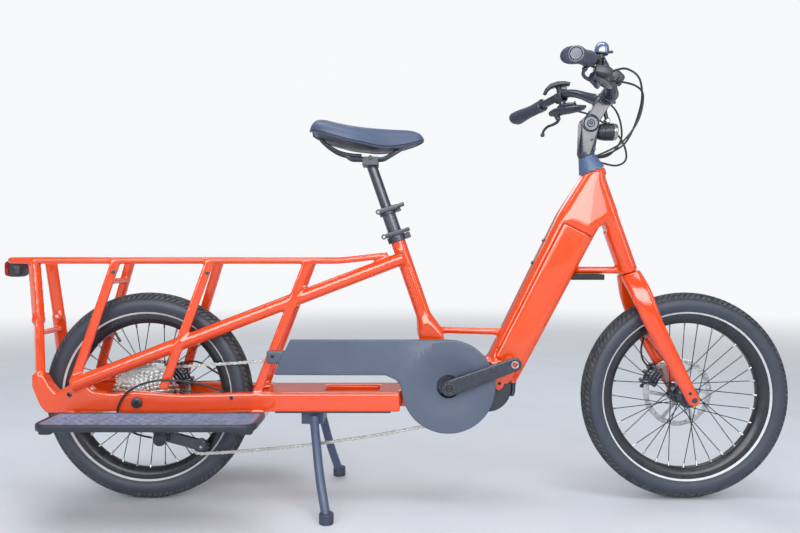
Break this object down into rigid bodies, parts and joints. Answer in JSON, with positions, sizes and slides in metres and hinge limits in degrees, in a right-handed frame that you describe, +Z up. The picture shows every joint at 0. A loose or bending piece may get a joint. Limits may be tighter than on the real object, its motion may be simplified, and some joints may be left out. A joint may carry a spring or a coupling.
{
  "type": "electric cargo bike",
  "caption": "Longtail electric cargo bicycle with a low frame, rear rack, side footboards, mid motor under a chain guard, disc brakes and a two-legged centre stand.",
  "frame": {"origin": "on the ground, at the middle of the bounding box", "axes": "+X forwards along the bicycle, +Y to the rider's left, +Z up"},
  "size_m": [1.995, 0.7154, 1.09],
  "materials": {
    "frame_paint": "gloss",
    "black_metal": "satin black",
    "bare_alloy": "satin",
    "steel": "brushed",
    "tyre_rubber": "matt",
    "soft_rubber": "matt",
    "dark_plastic": "matt",
    "saddle_cover": "matt",
    "lamp_red": "gloss",
    "hose": "matt"
  },
  "bodies": {
    "frame": {"head_tube": "frame_paint", "down_tube": "frame_paint", "battery_cover": "frame_paint", "frame_braces": "frame_paint", "mudguard_bracket": "black_metal", "seat_tube": "frame_paint", "motor_cradle": "frame_paint", "motor": "dark_plastic", "lower_rails": "frame_paint", "tail_castings": "frame_paint", "rail_bridge": "frame_paint", "seat_stays": "frame_paint", "rack_rails": "frame_paint", "rack_struts": "frame_paint", "rear_posts": "frame_paint", "tail_lamp": "lamp_red", "footboards": "dark_plastic", "board_lugs": "frame_paint", "rail_strips": "dark_plastic", "stand_hanger": "black_metal", "chain_guard": "dark_plastic", "rear_changer": "black_metal", "chain": "steel", "rear_caliper": "black_metal", "rear_thru_axle": "black_metal", "seat_collar": "black_metal", "frame_hoses": "hose"},
    "stand": {"stand_legs": "black_metal", "stand_feet": "soft_rubber"},
    "lower_seat_post": {"lower_post": "black_metal", "post_collar": "black_metal"},
    "upper_seat_post": {"upper_post": "black_metal", "saddle_rails": "steel", "saddle": "saddle_cover"},
    "cranks": {"crank_arms": "black_metal", "chainring": "steel"},
    "rear_wheel": {"rear_tyre": "tyre_rubber", "rear_rim": "black_metal", "rear_spokes": "black_metal", "rear_hub": "black_metal", "rear_rotor": "steel", "cassette": "steel"},
    "steering": {"fork": "frame_paint", "front_thru_axle": "black_metal", "front_caliper": "black_metal", "headset_cone": "dark_plastic", "stem": "black_metal", "handlebar": "black_metal", "grips": "soft_rubber", "brake_levers": "black_metal", "bar_controls": "dark_plastic", "display": "dark_plastic", "head_lamp": "dark_plastic", "control_hoses": "hose"},
    "front_wheel": {"front_tyre": "tyre_rubber", "front_rim": "black_metal", "front_spokes": "black_metal", "front_hub": "black_metal", "front_rotor": "steel"}
  },
  "joints": [
    {"name": "rear_wheel_spin", "type": "hinge", "parent": "frame", "child": "rear_wheel", "pos_m": [-0.6315, 0, 0.263], "axis": [0, 1, 0], "continuous": true},
    {"name": "crank_spin", "type": "hinge", "parent": "frame", "child": "cranks", "pos_m": [0.127, 0, 0.298], "axis": [0, 1, 0], "continuous": true},
    {"name": "stand_fold", "type": "hinge", "parent": "frame", "child": "stand", "pos_m": [-0.205, 0, 0.213], "axis": [0, 1, 0], "range_deg": [0, 80]},
    {"name": "steering", "type": "hinge", "parent": "frame", "child": "steering", "pos_m": [0.49563, 0, 0.8345], "axis": [-0.342, 0, 0.9397], "range_deg": [-60, 60]},
    {"name": "front_wheel_spin", "type": "hinge", "parent": "steering", "child": "front_wheel", "pos_m": [0.7345, 0, 0.263], "axis": [0, 1, 0], "continuous": true},
    {"name": "lower_post_slide", "type": "slide", "parent": "frame", "child": "lower_seat_post", "axis": [-0.3272, 0, 0.9449], "range_m": [-0.04, 0.09]},
    {"name": "upper_post_slide", "type": "slide", "parent": "lower_seat_post", "child": "upper_seat_post", "axis": [-0.3272, 0, 0.9449], "range_m": [-0.08, 0.07]}
  ]
}
